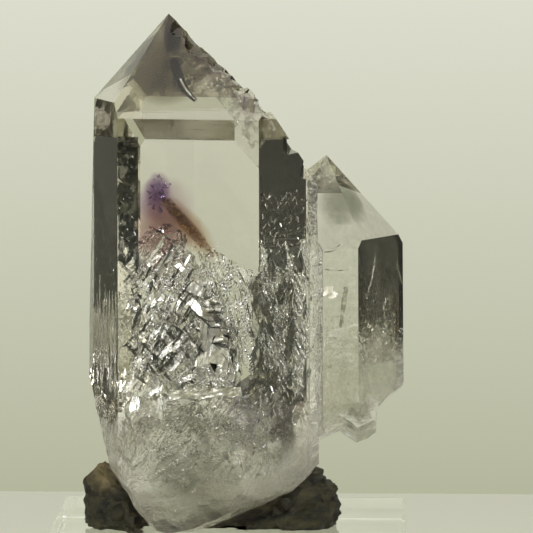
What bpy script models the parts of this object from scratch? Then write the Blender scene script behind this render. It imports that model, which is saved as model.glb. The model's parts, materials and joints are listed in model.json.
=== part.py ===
"""A skeletal quartz crystal with a smaller crystal grown on its side, set in putty on a clear block.

Sizes are in millimetres and are turned to metres when each mesh is made. The origin is on the
surface that the block stands on, under the middle of the block. +Z is up and -Y is the front.
An azimuth is measured from the front towards +X, so 0 is the front and 90 is the right side.
"""
import math
import random

import bmesh
import bpy
from mathutils import Matrix, Vector, noise

MM = 0.001

# Touching pieces keep this gap.
GAP = 0.3

# The clear block under the crystals.
BLOCK_SIDE = 38.0
BLOCK_HEIGHT = 16.0
BLOCK_EDGE = 0.35

# Quartz: six prism faces 60 degrees apart, capped by faces that lean at the mineral's own angle.
CAP_SLOPE = 51.8
FACE_STEP = 60.0
BLANK = 200.0

# The large crystal. Each reach runs from its axis to a prism face, from the front face round.
MAIN_AXIS = Vector((-6.3, 0.2, 0.0))
MAIN_TOP = 70.7
MAIN_SHOULDER = 60.0
MAIN_TURN = -11.0
MAIN_REACH = {-2: 8.95, -1: 7.03, 0: 8.25, 1: 14.31, 2: 13.85, 3: 10.8}
MAIN_FLARE = {-2: 0.2, -1: 0.2, 0: 0.2, 1: 0.3, 2: 0.3, 3: 0.3}
MAIN_CAP_LIFT = {-2: 0.1, -1: 0.0, 0: 0.0, 2: 0.2, 3: 0.15}
# Two narrow faces that take the left corner and the upper corner at the back off: a point on
# each, its azimuth and its rise.
MAIN_NARROW = (
    ((-14.3, 1.76, 61.5), -101.0, 2.8),
    ((-8.27, 11.25, 57.17), -157.0, 21.7),
)

# The small crystal on the right. Its left cap face never formed.
SIDE_AXIS = Vector((10.4, 5.0, 0.0))
SIDE_TOP = 55.4
SIDE_SHOULDER = 46.0
SIDE_TURN = 0.0
SIDE_REACH = {-2: 6.5, -1: 6.5, 0: 7.29, 1: 6.66, 2: 7.51, 3: 5.1}
SIDE_FLARE = {-2: 0.4, -1: 0.4, 0: 0.4, 1: 0.5, 2: 0.5, 3: 0.4}
SIDE_CAP_LIFT = {-2: 0.12, 0: 0.0, 1: 0.0, 2: 0.08, 3: 0.15}

# The broken foot of each crystal: a point on each break, its azimuth and how far it faces down.
MAIN_BREAKS = (
    ((-15.0, 1.4, 31.4), -88.0, -17.0),
    ((-13.2, -1.1, 25.3), -104.0, -30.0),
    ((-11.1, -4.6, 21.3), -74.0, -34.0),
    ((-6.4, -7.2, 16.5), -62.0, -64.0),
    ((3.6, -6.0, 19.7), 60.0, -62.0),
    ((9.0, -0.6, 22.9), 96.0, -48.0),
    ((-2.1, -7.0, 17.0), 26.0, -70.0),
    ((-6.0, 5.9, 25.5), 176.0, -42.0),
    ((3.0, 6.4, 27.5), 150.0, -36.0),
    ((-5.0, -7.6, 19.0), -8.0, -8.0),
)
SIDE_BREAKS = (
    ((18.5, 4.0, 30.9), 82.0, -46.0),
    ((15.4, 2.4, 28.0), 70.0, -62.0),
    ((11.5, -1.6, 25.0), 12.0, -52.0),
    ((11.0, 7.4, 27.0), 168.0, -48.0),
)
FOOT_LOW = BLOCK_HEIGHT + GAP + 0.1

# The rough grain of the broken feet.
GRAIN_EDGE = 1.25
GRAIN_DEPTH = 0.42
GRAIN_SIZE = 2.6
GRAIN_BELOW = 31.6
GRAIN_ROUNDS = 6
FACES_DOWN = -0.2

# A thin crystal in the joint between the two, and a loose-looking chip at the small one's foot.
RIB_AXIS = Vector((9.3, -3.8, 0.0))
RIB_REACH = 0.78
RIB_TURN = 0.0
RIB_TOP = 46.0
RIB_FOOT = 23.6
RIB_CAP_DROP = 1.2
RIB_BREAK = (20.0, -60.0)
CHIP_PLACE = Vector((13.9, 0.6, 28.1))
CHIP_REACH = 2.0
CHIP_LENGTH = 5.2
CHIP_TURN = (64.0, -24.0, 12.0)
CHIP_END_LEAN = (0.18, 0.1)

# The long ridge on the large crystal's right is chipped along its whole length. It runs from the
# top at this azimuth and slope, and each chip is a shallow scoop by a coarse ball.
RIDGE_AZIMUTH = 49.0
RIDGE_SLOPE = -32.4
RIDGE_START = 2.6
RIDGE_CHIPS = 12
RIDGE_PITCH = 1.5
CHIP_RADII = (1.5, 2.6)
CHIP_DEPTHS = (0.6, 1.3)
CHIP_SPREAD = 1.3
CHIP_SEED = 11
# Square ledges among the chips: place, half sizes and turn of each.
LEDGES = (
    ((-0.2, -4.3, 66.3), (1.4, 1.6, 0.8), (4.0, -12.0, 34.0)),
    ((4.1, -7.0, 61.2), (1.7, 1.2, 0.8), (-6.0, 10.0, 30.0)),
    ((7.4, -5.6, 57.4), (1.5, 1.5, 0.8), (6.0, -4.0, 38.0)),
    ((8.9, -4.4, 54.6), (1.1, 1.3, 1.0), (0.0, 14.0, 24.0)),
)
# Curved scars of single blows: place, radius along three directions and turn of each.
SCARS = (
    ((10.0, -3.9, 50.0), (0.7, 0.9, 2.2), (0.0, 4.0, 0.0)),
    ((-14.6, -5.6, 45.0), (0.8, 0.7, 1.6), (0.0, -6.0, 20.0)),
    ((-13.6, -6.9, 33.5), (1.2, 0.9, 2.0), (10.0, -12.0, 25.0)),
)

# The stepped hollow that growth left in the front face: its middle, the half width and half
# height of its mouth, the number of steps, and how far each step goes in and draws together.
HOLLOW_MIDDLE = Vector((-0.7, 0.0, 36.6))
HOLLOW_HALF = (2.9, 4.3)
HOLLOW_STEPS = 4
HOLLOW_STEP_DEPTH = 0.34
HOLLOW_STEP_SHRINK = 0.62
HOLLOW_STEP_SINK = 0.35
# The mouth starts this far outside the face. Its outline goes round in shares of its half sizes.
HOLLOW_START = 1.0
HOLLOW_TALLER = 1.25
HOLLOW_OUTLINE = (
    (-0.55, 1.0), (0.35, 0.92), (1.0, 0.25), (0.86, -0.72), (-0.2, -1.0), (-1.0, -0.8), (-0.9, 0.2))

# The roll of putty: where its middle runs, from its left end to its right end, and its thickness.
PUTTY_ROUTE = (
    ((-16.0, -0.2, 19.5), 2.8),
    ((-13.2, -1.0, 19.8), 3.9),
    ((-10.3, -1.4, 18.9), 4.1),
    ((-6.8, 0.4, 17.6), 3.5),
    ((-2.6, 2.2, 17.4), 3.3),
    ((1.6, 1.4, 17.8), 3.5),
    ((5.6, 0.8, 18.6), 3.7),
    ((9.3, 0.6, 19.2), 3.8),
    ((12.4, 0.6, 18.6), 3.1),
)
PUTTY_RINGS = 46
PUTTY_SIDES = 26
PUTTY_WIDER = 1.3
PUTTY_LUMP = 0.6
PUTTY_LUMP_SIZE = 3.2
PUTTY_CREASE = 0.4
PUTTY_CREASE_SIZE = 1.9
# How many rings close each end of the roll, and the least share of the width that is left there.
PUTTY_END_RINGS = 5
PUTTY_END_SHARE = 0.17


def radians3(turn):
    """Three angles in degrees as a rotation."""
    x, y, z = (math.radians(angle) for angle in turn)
    return Matrix.Rotation(z, 4, "Z") @ Matrix.Rotation(y, 4, "Y") @ Matrix.Rotation(x, 4, "X")


def outward(azimuth, rise):
    """The direction a face looks in: its azimuth, and its rise above the horizontal, in degrees."""
    around = math.radians(azimuth)
    up = math.radians(rise)
    return Vector((math.sin(around) * math.cos(up), -math.cos(around) * math.cos(up), math.sin(up)))


def cleave(mesh, point, direction):
    """Takes off what lies outside a plane and closes the cut with one flat face."""
    parts = mesh.verts[:] + mesh.edges[:] + mesh.faces[:]
    cut = bmesh.ops.bisect_plane(
        mesh, geom=parts, dist=1e-5, plane_co=point, plane_no=direction, clear_outer=True)
    rim = [part for part in cut["geom_cut"] if isinstance(part, bmesh.types.BMEdge)]
    if rim:
        bmesh.ops.contextual_create(mesh, geom=rim)


def blank_block():
    """A block larger than any crystal, to be cleaved into one."""
    mesh = bmesh.new()
    bmesh.ops.create_cube(mesh, size=BLANK)
    return mesh


def cleave_crystal(axis, top, shoulder, turn, reaches, flares, lifts):
    """A quartz crystal: the prism faces by their reach and flare, the cap faces through its top."""
    mesh = blank_block()
    for step, reach in reaches.items():
        azimuth = turn + FACE_STEP * step
        foot = axis + outward(azimuth, 0.0) * reach + Vector((0.0, 0.0, shoulder))
        cleave(mesh, foot, outward(azimuth, flares[step]))
    for step, lift in lifts.items():
        peak = axis + Vector((0.0, 0.0, top + lift))
        cleave(mesh, peak, outward(turn + FACE_STEP * step, 90.0 - CAP_SLOPE))
    return mesh


def break_foot(mesh, breaks):
    """Breaks the lower end off along rough planes."""
    for point, azimuth, rise in breaks:
        cleave(mesh, Vector(point), outward(azimuth, rise))
    cleave(mesh, Vector((0.0, 0.0, FOOT_LOW)), Vector((0.0, 0.0, -1.0)))


def is_broken(face):
    """True for the faces of the broken feet, which look down and lie low."""
    return face.normal.z < FACES_DOWN and face.calc_center_median().z < GRAIN_BELOW


def roughen(mesh):
    """Gives the broken feet the lumpy grain of broken quartz, and leaves the flat faces flat."""
    mesh.normal_update()
    for _ in range(GRAIN_ROUNDS):
        broken = [face for face in mesh.faces if is_broken(face)]
        bmesh.ops.triangulate(mesh, faces=broken)
        broken = [face for face in mesh.faces if is_broken(face)]
        long_edges = {edge for face in broken for edge in face.edges if edge.calc_length() > GRAIN_EDGE}
        if not long_edges:
            break
        bmesh.ops.subdivide_edges(mesh, edges=list(long_edges), cuts=1)
    mesh.normal_update()
    moves = {}
    for vert in mesh.verts:
        flat = [face for face in vert.link_faces if not is_broken(face)]
        if len(flat) == len(vert.link_faces) or len(flat) > 1:
            continue
        if vert.co.z < FOOT_LOW + 0.01:
            continue
        move = noise.noise_vector(vert.co / GRAIN_SIZE) * GRAIN_DEPTH
        if flat:
            move -= flat[0].normal * move.dot(flat[0].normal)
        move.z = max(move.z, FOOT_LOW - vert.co.z)
        moves[vert] = move
    for vert, move in moves.items():
        vert.co += move


def finish_object(mesh, name, material, is_cutter=False):
    """Turns millimetres to metres, and puts the mesh in the scene as one named object."""
    bmesh.ops.recalc_face_normals(mesh, faces=mesh.faces)
    bmesh.ops.scale(mesh, vec=(MM, MM, MM), verts=mesh.verts)
    data = bpy.data.meshes.new(name)
    mesh.to_mesh(data)
    mesh.free()
    piece = bpy.data.objects.new(name, data)
    bpy.context.collection.objects.link(piece)
    if material is not None:
        data.materials.append(material)
    if is_cutter:
        piece.hide_render = True
        piece.display_type = "WIRE"
    return piece


def combine(piece, other, operation):
    """Joins another solid to a piece, or cuts it out of the piece."""
    step = piece.modifiers.new(operation.title() + " " + other.name, "BOOLEAN")
    step.operation = operation
    step.solver = "EXACT"
    step.object = other


def settled_mesh(piece):
    """Carries out a piece's modifiers, takes them off and returns the mesh that they leave."""
    bpy.context.view_layer.update()
    shaped = piece.evaluated_get(bpy.context.evaluated_depsgraph_get())
    mesh = bmesh.new()
    mesh.from_mesh(shaped.to_mesh())
    shaped.to_mesh_clear()
    piece.modifiers.clear()
    return mesh


def make_material(name, colour, roughness, transmission=0.0, ior=1.45):
    """A Principled material with one colour."""
    material = bpy.data.materials.new(name)
    material.use_nodes = True
    shader = material.node_tree.nodes["Principled BSDF"]
    shader.inputs["Base Color"].default_value = (*colour, 1.0)
    shader.inputs["Roughness"].default_value = roughness
    shader.inputs["Metallic"].default_value = 0.0
    shader.inputs["Transmission Weight"].default_value = transmission
    shader.inputs["IOR"].default_value = ior
    material.diffuse_color = (*colour, 1.0)
    return material


def ledge_cutter(index, place, half, turn):
    """A tilted block that takes a square ledge out of the ridge."""
    mesh = bmesh.new()
    bmesh.ops.create_cube(mesh, size=2.0)
    bmesh.ops.scale(mesh, vec=half, verts=mesh.verts)
    bmesh.ops.transform(mesh, matrix=Matrix.Translation(place) @ radians3(turn), verts=mesh.verts)
    return finish_object(mesh, f"ledge_{index}", None, is_cutter=True)


def scar_cutter(name, place, radii, turn):
    """A coarse ball that scoops out the shell-like scar of a blow."""
    mesh = bmesh.new()
    bmesh.ops.create_icosphere(mesh, subdivisions=2, radius=1.0)
    bmesh.ops.scale(mesh, vec=radii, verts=mesh.verts)
    bmesh.ops.transform(mesh, matrix=Matrix.Translation(place) @ radians3(turn), verts=mesh.verts)
    return finish_object(mesh, name, None, is_cutter=True)


def ridge_chips():
    """The scoops along the chipped ridge, each a little off the line and of its own size."""
    chance = random.Random(CHIP_SEED)
    along = outward(RIDGE_AZIMUTH, RIDGE_SLOPE)
    off = outward(RIDGE_AZIMUTH, 90.0 + RIDGE_SLOPE)
    across = along.cross(off)
    top = MAIN_AXIS + Vector((0.0, 0.0, MAIN_TOP))
    for index in range(RIDGE_CHIPS):
        radius = chance.uniform(*CHIP_RADII)
        lift = radius - chance.uniform(*CHIP_DEPTHS)
        spot = top + along * (RIDGE_START + RIDGE_PITCH * index) + off * lift
        spot += across * chance.uniform(-CHIP_SPREAD, CHIP_SPREAD)
        radii = (radius * chance.uniform(0.7, 1.2), radius * chance.uniform(0.9, 1.3), radius)
        turn = tuple(chance.uniform(-30.0, 30.0) for _ in range(3))
        yield scar_cutter(f"ridge_chip_{index}", spot, radii, turn)


def hollow_cutter():
    """A stepped cup whose mouth lies on the front face: each step is an upright six-sided plate."""
    mesh = bmesh.new()
    front = outward(MAIN_TURN, 0.0)
    along = outward(MAIN_TURN + 90.0, 0.0)
    up = Vector((0.0, 0.0, 1.0))
    face_point = MAIN_AXIS + front * MAIN_REACH[0]
    middle = face_point + along * (HOLLOW_MIDDLE.x - face_point.x) / along.x
    middle.z = HOLLOW_MIDDLE.z
    fall = (MAIN_SHOULDER - HOLLOW_MIDDLE.z) * math.tan(math.radians(MAIN_FLARE[0]))
    middle += front * fall
    loops = []
    for step in range(HOLLOW_STEPS):
        half_width = HOLLOW_HALF[0] - HOLLOW_STEP_SHRINK * step
        half_height = HOLLOW_HALF[1] - HOLLOW_STEP_SHRINK * HOLLOW_TALLER * step
        low_side = up * (-HOLLOW_STEP_SINK * step)
        near = HOLLOW_START if step == 0 else -HOLLOW_STEP_DEPTH * step
        for reach in (near, -HOLLOW_STEP_DEPTH * (step + 1)):
            loop = [
                mesh.verts.new(
                    middle + low_side + front * reach + along * half_width * across + up * half_height * rise)
                for across, rise in HOLLOW_OUTLINE]
            loops.append(loop)
    count = len(HOLLOW_OUTLINE)
    for lower, upper in zip(loops, loops[1:]):
        for side in range(count):
            after = (side + 1) % count
            mesh.faces.new((lower[side], lower[after], upper[after], upper[side]))
    mesh.faces.new(loops[0])
    mesh.faces.new(loops[-1][::-1])
    return finish_object(mesh, "stepped_hollow", None, is_cutter=True)


def rib_solid():
    """The thin crystal that fills the joint between the two large ones."""
    reaches = {step: RIB_REACH for step in range(-2, 4)}
    flares = {step: 0.0 for step in reaches}
    lifts = {step: 0.0 for step in (-2, 0, 2)}
    mesh = cleave_crystal(RIB_AXIS, RIB_TOP + RIB_CAP_DROP, RIB_TOP, RIB_TURN, reaches, flares, lifts)
    cleave(mesh, Vector((0.0, 0.0, RIB_FOOT)), outward(*RIB_BREAK))
    return finish_object(mesh, "joint_rib", None, is_cutter=True)


def chip_solid():
    """A short six-sided chip that leans out of the small crystal's broken foot."""
    mesh = blank_block()
    for step in range(6):
        side = outward(FACE_STEP * step, 0.0)
        cleave(mesh, side * CHIP_REACH, side)
    for end in (1.0, -1.0):
        away = Vector((*CHIP_END_LEAN, end)).normalized()
        cleave(mesh, Vector((0.0, 0.0, end * CHIP_LENGTH / 2.0)), away)
    place = Matrix.Translation(CHIP_PLACE) @ radians3(CHIP_TURN)
    bmesh.ops.transform(mesh, matrix=place, verts=mesh.verts)
    return finish_object(mesh, "foot_chip", None, is_cutter=True)


def foot_mould():
    """The large crystal's foot grown by the gap, which leaves its print in the putty."""
    clearance = GAP + GRAIN_DEPTH
    reaches = {step: reach + clearance for step, reach in MAIN_REACH.items()}
    mesh = cleave_crystal(
        MAIN_AXIS, MAIN_TOP, MAIN_SHOULDER, MAIN_TURN, reaches, MAIN_FLARE, MAIN_CAP_LIFT)
    for point, azimuth, rise in MAIN_BREAKS:
        away = outward(azimuth, rise)
        cleave(mesh, Vector(point) + away * clearance, away)
    return finish_object(mesh, "foot_mould", None, is_cutter=True)


def make_crystals():
    """Both crystals, the rib and the chip as the one stone that they are."""
    quartz = make_material("smoky clear quartz", (0.78, 0.77, 0.70), 0.02, transmission=1.0, ior=1.544)
    large = cleave_crystal(
        MAIN_AXIS, MAIN_TOP, MAIN_SHOULDER, MAIN_TURN, MAIN_REACH, MAIN_FLARE, MAIN_CAP_LIFT)
    for point, azimuth, rise in MAIN_NARROW:
        cleave(large, Vector(point), outward(azimuth, rise))
    break_foot(large, MAIN_BREAKS)
    crystals = finish_object(large, "quartz_crystals", quartz)

    small = cleave_crystal(
        SIDE_AXIS, SIDE_TOP, SIDE_SHOULDER, SIDE_TURN, SIDE_REACH, SIDE_FLARE, SIDE_CAP_LIFT)
    break_foot(small, SIDE_BREAKS)
    for grown in (finish_object(small, "small_crystal", None, is_cutter=True), rib_solid(), chip_solid()):
        combine(crystals, grown, "UNION")
    for chip in ridge_chips():
        combine(crystals, chip, "DIFFERENCE")
    for index, (place, half, turn) in enumerate(LEDGES):
        combine(crystals, ledge_cutter(index, place, half, turn), "DIFFERENCE")
    for index, (place, radii, turn) in enumerate(SCARS):
        combine(crystals, scar_cutter(f"scar_{index}", place, radii, turn), "DIFFERENCE")
    combine(crystals, hollow_cutter(), "DIFFERENCE")
    mesh = settled_mesh(crystals)
    bmesh.ops.scale(mesh, vec=(1.0 / MM, 1.0 / MM, 1.0 / MM), verts=mesh.verts)
    roughen(mesh)
    bmesh.ops.scale(mesh, vec=(MM, MM, MM), verts=mesh.verts)
    mesh.to_mesh(crystals.data)
    mesh.free()


def putty_at(share):
    """The middle and the thickness of the putty roll at a share of its length, smoothly blended."""
    spot = share * (len(PUTTY_ROUTE) - 1)
    first = min(int(spot), len(PUTTY_ROUTE) - 2)
    blend = spot - first
    blend = blend * blend * (3.0 - 2.0 * blend)
    (start, start_radius), (end, end_radius) = PUTTY_ROUTE[first], PUTTY_ROUTE[first + 1]
    middle = Vector(start).lerp(Vector(end), blend)
    return middle, start_radius + (end_radius - start_radius) * blend


def make_putty():
    """A kneaded roll, pressed flat on the block and hollowed by the crystal's foot."""
    putty = make_material("grey brown putty", (0.075, 0.064, 0.040), 0.72)
    mesh = bmesh.new()
    rings = []
    for ring in range(PUTTY_RINGS + 1):
        share = ring / PUTTY_RINGS
        middle, radius = putty_at(share)
        end = min(min(share, 1.0 - share) * PUTTY_RINGS / PUTTY_END_RINGS, 1.0)
        radius *= max(math.sqrt(1.0 - (1.0 - end) ** 2), PUTTY_END_SHARE)
        loop = []
        for side in range(PUTTY_SIDES):
            angle = 2.0 * math.pi * side / PUTTY_SIDES
            round_way = Vector((0.0, math.cos(angle) * PUTTY_WIDER, math.sin(angle)))
            spot = middle + round_way * radius
            lump = noise.noise(spot / PUTTY_LUMP_SIZE) * PUTTY_LUMP
            crease = -abs(noise.noise(spot / PUTTY_CREASE_SIZE)) * PUTTY_CREASE
            spot += round_way * (lump + crease)
            spot.z = max(spot.z, BLOCK_HEIGHT + GAP)
            loop.append(mesh.verts.new(spot))
        rings.append(loop)
    for before, after in zip(rings, rings[1:]):
        for side in range(PUTTY_SIDES):
            beside = (side + 1) % PUTTY_SIDES
            mesh.faces.new((before[side], before[beside], after[beside], after[side]))
    mesh.faces.new(rings[0][::-1])
    mesh.faces.new(rings[-1])
    roll = finish_object(mesh, "mounting_putty", putty)
    combine(roll, foot_mould(), "DIFFERENCE")


def make_block():
    """The polished clear block with its edges just broken."""
    acrylic = make_material("clear cast acrylic", (0.93, 0.95, 0.93), 0.03, transmission=1.0, ior=1.49)
    mesh = bmesh.new()
    bmesh.ops.create_cube(mesh, size=1.0)
    bmesh.ops.scale(mesh, vec=(BLOCK_SIDE, BLOCK_SIDE, BLOCK_HEIGHT), verts=mesh.verts)
    bmesh.ops.translate(mesh, vec=(0.0, 0.0, BLOCK_HEIGHT / 2.0), verts=mesh.verts)
    bmesh.ops.bevel(mesh, geom=mesh.edges[:], offset=BLOCK_EDGE, segments=2, profile=0.5, affect="EDGES")
    finish_object(mesh, "acrylic_base", acrylic)


for old in list(bpy.data.objects):
    bpy.data.objects.remove(old, do_unlink=True)
make_block()
make_crystals()
make_putty()
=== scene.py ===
"""The looks of a small cabinet specimen: a skeletal amethyst of two grown-together quartz
crystals, set in putty on an acrylic block. Every size is in millimetres until MM turns it
to metres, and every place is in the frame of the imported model."""

import bpy
import json
import math
import random
from mathutils import Euler, Matrix, Vector, noise

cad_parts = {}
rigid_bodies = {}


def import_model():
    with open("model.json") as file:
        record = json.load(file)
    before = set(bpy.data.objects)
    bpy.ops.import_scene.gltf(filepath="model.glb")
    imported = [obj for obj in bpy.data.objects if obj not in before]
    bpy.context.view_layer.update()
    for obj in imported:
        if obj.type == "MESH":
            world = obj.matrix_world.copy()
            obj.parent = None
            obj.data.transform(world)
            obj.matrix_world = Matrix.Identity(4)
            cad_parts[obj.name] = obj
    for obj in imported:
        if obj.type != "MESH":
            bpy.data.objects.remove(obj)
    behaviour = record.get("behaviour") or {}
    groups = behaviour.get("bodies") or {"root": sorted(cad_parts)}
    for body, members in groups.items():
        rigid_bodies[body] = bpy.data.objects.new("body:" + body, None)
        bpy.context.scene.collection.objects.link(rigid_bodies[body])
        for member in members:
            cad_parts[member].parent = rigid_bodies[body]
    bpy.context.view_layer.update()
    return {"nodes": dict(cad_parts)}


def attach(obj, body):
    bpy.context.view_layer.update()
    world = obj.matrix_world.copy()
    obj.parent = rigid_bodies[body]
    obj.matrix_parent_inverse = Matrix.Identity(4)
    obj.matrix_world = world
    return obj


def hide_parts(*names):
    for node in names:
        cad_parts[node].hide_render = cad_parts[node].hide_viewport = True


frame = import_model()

MM = 0.001


# The acrylic block
# A square block of clear cast acrylic, sawn, its six faces flame polished and its edges
# lightly broken. It carries the specimen and is only touched by the putty.

def linear_colour(hex_text):
    """An sRGB hex colour as the linear colour that Blender's sockets take."""
    parts = [int(hex_text[i:i + 2], 16) / 255.0 for i in (0, 2, 4)]
    return tuple(c / 12.92 if c <= 0.04045 else ((c + 0.055) / 1.055) ** 2.4 for c in parts) + (1.0,)


def add_node(tree, kind, settings=None, links=None):
    """Adds a node. A setting's key is a property's name or an input's, and a link's an input's."""
    node = tree.nodes.new(kind)
    for key, value in (settings or {}).items():
        if isinstance(key, str) and hasattr(node, key):
            setattr(node, key, value)
        else:
            node.inputs[key].default_value = value
    for key, source in (links or {}).items():
        tree.links.new(source, node.inputs[key])
    return node


def new_material(name, base="ffffff", roughness=0.5, ior=1.5):
    """A material with one Principled shader, and that shader."""
    material = bpy.data.materials.new(name)
    material.use_nodes = True
    shader = material.node_tree.nodes["Principled BSDF"]
    shader.inputs["Base Color"].default_value = linear_colour(base)
    shader.inputs["Roughness"].default_value = roughness
    shader.inputs["IOR"].default_value = ior
    return material, shader


def fill_with_tint(material, colour, density):
    """Plain absorption inside a closed mesh: density is per metre."""
    tree = material.node_tree
    tint = add_node(tree, "ShaderNodeVolumeAbsorption", {"Color": linear_colour(colour), "Density": density})
    tree.links.new(tint.outputs["Volume"], tree.nodes["Material Output"].inputs["Volume"])


def object_place(tree, scale=(1.0, 1.0, 1.0), turn=(0.0, 0.0, 0.0)):
    """Object coordinates in millimetres, stretched and turned: the output that patterns read."""
    coordinates = add_node(tree, "ShaderNodeTexCoord")
    return add_node(
        tree, "ShaderNodeMapping",
        {"Scale": tuple(s / MM for s in scale), "Rotation": tuple(math.radians(t) for t in turn)},
        {"Vector": coordinates.outputs["Object"]}).outputs["Vector"]


def refinish(node, material):
    """Gives a CAD node the material."""
    piece = frame["nodes"][node]
    piece.data.materials.clear()
    piece.data.materials.append(material)
    return piece


# Cast acrylic: nearly colourless, flat and glossy.
acrylic, acrylic_shader = new_material("cast_acrylic", roughness=0.0, ior=1.49)
acrylic_shader.inputs["Transmission Weight"].default_value = 1.0
fill_with_tint(acrylic, "e6efe4", 2.0)
acrylic_block = refinish("acrylic_base", acrylic)
acrylic_block.visible_shadow = False


# The putty
# Grey-brown museum putty, kneaded and rolled by hand, then pressed up around the broken foot
# of the specimen and down onto the block. It shows smeared folds, and a torn left end.

def deselect():
    """Leaves nothing selected, so that the next operator acts on its own piece alone."""
    bpy.ops.object.select_all(action="DESELECT")


def merged_copy(node, name):
    """A copy of a CAD node's mesh as one closed surface, selected and active."""
    deselect()
    source = frame["nodes"][node]
    piece = bpy.data.objects.new(name, source.data.copy())
    piece.data.materials.clear()
    bpy.context.scene.collection.objects.link(piece)
    piece.select_set(True)
    bpy.context.view_layer.objects.active = piece
    bpy.ops.object.mode_set(mode="EDIT")
    bpy.ops.mesh.select_all(action="SELECT")
    bpy.ops.mesh.remove_doubles(threshold=0.001 * MM)
    bpy.ops.mesh.normals_make_consistent(inside=False)
    bpy.ops.object.mode_set(mode="OBJECT")
    return piece


def remesh(piece, cell):
    """Gives the piece an even skin of the cell's size."""
    modifier = piece.modifiers.new("even skin", "REMESH")
    modifier.mode = "VOXEL"
    modifier.voxel_size = cell * MM
    bpy.ops.object.modifier_apply(modifier=modifier.name)


def press_in(piece, kind, size, depth, stretch=(1.0, 1.0, 1.0), turn=(0.0, 0.0, 0.0)):
    """Presses a stretched, turned cloud pattern into the piece. It never stands out of it."""
    bpy.ops.object.empty_add(rotation=tuple(math.radians(t) for t in turn))
    grain = bpy.context.object
    grain.scale = tuple(s * MM for s in stretch)
    bpy.context.view_layer.update()
    pattern = bpy.data.textures.new("pressed pattern", kind)
    pattern.noise_scale = size
    modifier = piece.modifiers.new("pressed", "DISPLACE")
    modifier.texture = pattern
    modifier.texture_coords = "OBJECT"
    modifier.texture_coords_object = grain
    modifier.strength = depth * MM
    modifier.mid_level = 0.75
    deselect()
    piece.select_set(True)
    bpy.context.view_layer.objects.active = piece
    bpy.ops.object.modifier_apply(modifier=modifier.name)
    bpy.data.objects.remove(grain)


putty = merged_copy("mounting_putty", "putty_roll")
remesh(putty, 0.28)
press_in(putty, "CLOUDS", 2.6, 1.3, (1.6, 1.0, 0.9), (0, -14, 0))
press_in(putty, "CLOUDS", 1.5, 1.2, (3.6, 1.0, 0.6), (0, -24, 8))
press_in(putty, "CLOUDS", 0.6, 0.24, (4.5, 0.8, 0.5), (0, -28, 0))
# Pressed down on the block, its lowest 3 mm spread until they lie on it.
for vert in putty.data.vertices:
    above = vert.co.z / MM - 16.03
    vert.co.z = (16.03 + max(0.0, above - 1.6 * max(0.0, 1.0 - above / 3.0))) * MM
for polygon in putty.data.polygons:
    polygon.use_smooth = True

# Putty: an oily filler, dull where it was torn and smoother where a finger smeared it. The
# streaks are paler filler drawn out along the roll, 0.5 to 2 mm wide.
putty_finish, putty_shader = new_material("museum_putty", roughness=0.5, ior=1.47)
tree = putty_finish.node_tree
streaks = add_node(tree, "ShaderNodeTexNoise", {"Scale": 0.7, "Detail": 5.0, "Roughness": 0.6, "Distortion": 0.5},
                   {"Vector": object_place(tree, (0.35, 1.0, 1.6), (0, 22, 0))})
streak_colour = add_node(tree, "ShaderNodeValToRGB", links={"Fac": streaks.outputs["Fac"]})
streak_colour.color_ramp.elements[0].position = 0.38
streak_colour.color_ramp.elements[0].color = linear_colour("100f08")
streak_colour.color_ramp.elements[1].position = 0.68
streak_colour.color_ramp.elements[1].color = linear_colour("504b30")
# The left end was torn off, which leaves it pale and fibrous over 2 mm.
across = add_node(tree, "ShaderNodeSeparateXYZ", links={"Vector": object_place(tree)})
upright = add_node(tree, "ShaderNodeCombineXYZ", links={"X": across.outputs["X"], "Z": across.outputs["Z"]})
torn_reach = add_node(tree, "ShaderNodeVectorMath", {"operation": "DISTANCE", 1: (-13.0, 0.0, 22.6)},
                      {0: upright.outputs["Vector"]})
torn = add_node(tree, "ShaderNodeMapRange", {"From Min": 2.8, "From Max": 1.0, "To Min": 0.0, "To Max": 1.3},
                {"Value": torn_reach.outputs["Value"]})
torn_fibre = add_node(tree, "ShaderNodeMath", {"operation": "MULTIPLY"}, {0: torn.outputs["Result"], 1: streaks.outputs["Fac"]})
torn_colour = add_node(tree, "ShaderNodeMix", {"data_type": "RGBA", 7: linear_colour("8f8058")},
                       {0: torn_fibre.outputs[0], 6: streak_colour.outputs["Color"]})
tree.links.new(torn_colour.outputs[2], putty_shader.inputs["Base Color"])
shine = add_node(tree, "ShaderNodeMapRange", {"From Min": 0.35, "From Max": 0.7, "To Min": 0.34, "To Max": 0.62},
                 {"Value": streaks.outputs["Fac"]})
tree.links.new(shine.outputs["Result"], putty_shader.inputs["Roughness"])
crumb = add_node(tree, "ShaderNodeTexNoise", {"Scale": 3.4, "Detail": 5.0, "Roughness": 0.7},
                 {"Vector": object_place(tree, (0.5, 1.0, 1.5), (0, 22, 0))})
crumb_bump = add_node(tree, "ShaderNodeBump", {"Strength": 1.0, "Distance": 0.2 * MM}, {"Height": crumb.outputs["Fac"]})
tree.links.new(crumb_bump.outputs["Normal"], putty_shader.inputs["Normal"])
putty.data.materials.append(putty_finish)
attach(putty, "root")
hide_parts("mounting_putty")


# The two crystals
# Natural quartz, grown together as one piece: clear and glassy with flat faces above, fine
# growth lines across the prism faces, and a rough, broken, frosted foot below.

quartz, quartz_shader = new_material("clear_quartz", roughness=0.0, ior=1.544)
quartz_shader.inputs["Transmission Weight"].default_value = 1.0
fill_with_tint(quartz, "d2c8a4", 15.0)
tree = quartz.node_tree
place = object_place(tree)
split = add_node(tree, "ShaderNodeSeparateXYZ", links={"Vector": place})
clouds = add_node(tree, "ShaderNodeTexNoise", {"Scale": 0.22, "Detail": 4.0, "Roughness": 0.6}, {"Vector": place})
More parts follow.
